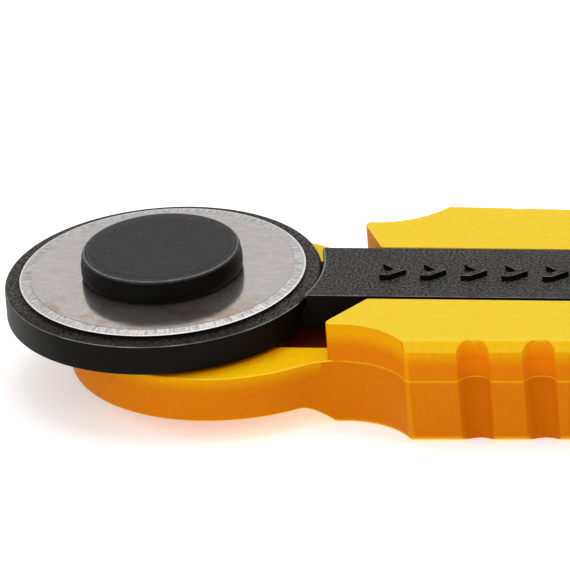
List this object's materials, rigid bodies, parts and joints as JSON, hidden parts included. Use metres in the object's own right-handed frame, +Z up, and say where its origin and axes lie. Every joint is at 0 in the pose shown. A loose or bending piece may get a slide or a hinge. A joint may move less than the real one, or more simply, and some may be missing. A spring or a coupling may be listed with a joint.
{
  "type": "rotary cutter",
  "caption": "Small rotary cutter: a round blade on a bolt under a round cap, with a sliding guard in a flat moulded handle.",
  "frame": {"origin": "middle of the cutter's length and width, on the plane of the handle's flat underside", "axes": "+X from the blade to the tail along the handle, +Z up out of the face that carries the blade's cap, +Y across the handle"},
  "size_m": [0.15, 0.0312, 0.0132],
  "materials": {
    "yellow_plastic": "smooth warm yellow, satin gloss",
    "black_plastic": "fine textured black",
    "cap_plastic": "satin black with light scuffs",
    "blade_steel": "polished, with a finely ground edge bevel",
    "bright_steel": "turned",
    "spring_steel": "rolled strip",
    "brass": "machined"
  },
  "bodies": {
    "handle": {"handle_body": "yellow_plastic", "blade_bush": "bright_steel", "bolt_cap": "cap_plastic", "pivot_bolt": "bright_steel", "wave_washer": "spring_steel", "detent_spring": "spring_steel", "detent_rivet": "bright_steel"},
    "guard": {"guard_slider": "black_plastic"},
    "blade": {"blade": "blade_steel"},
    "washer": {"plate_washer": "bright_steel"},
    "nut": {"nut_knob": "cap_plastic", "nut_insert": "brass"}
  },
  "joints": [
    {"name": "guard_slide", "type": "slide", "parent": "handle", "child": "guard", "axis": [1, 0, 0], "range_m": [0, 0.0062]},
    {"name": "blade_roll", "type": "hinge", "parent": "handle", "child": "blade", "pos_m": [-0.0595, 0, 0.0105], "axis": [0, 0, 1], "continuous": true},
    {"name": "nut_back_off", "type": "slide", "parent": "handle", "child": "washer", "axis": [0, 0, -1], "range_m": [0, 0.0014]},
    {"name": "nut_turn", "type": "hinge", "parent": "washer", "child": "nut", "pos_m": [-0.0595, 0, 0.0015], "axis": [0, 0, -1], "range_deg": [0, 721]}
  ],
  "couplings": [
    {"joint": "nut_turn", "follows": "nut_back_off", "rad_per_m": 8976}
  ]
}
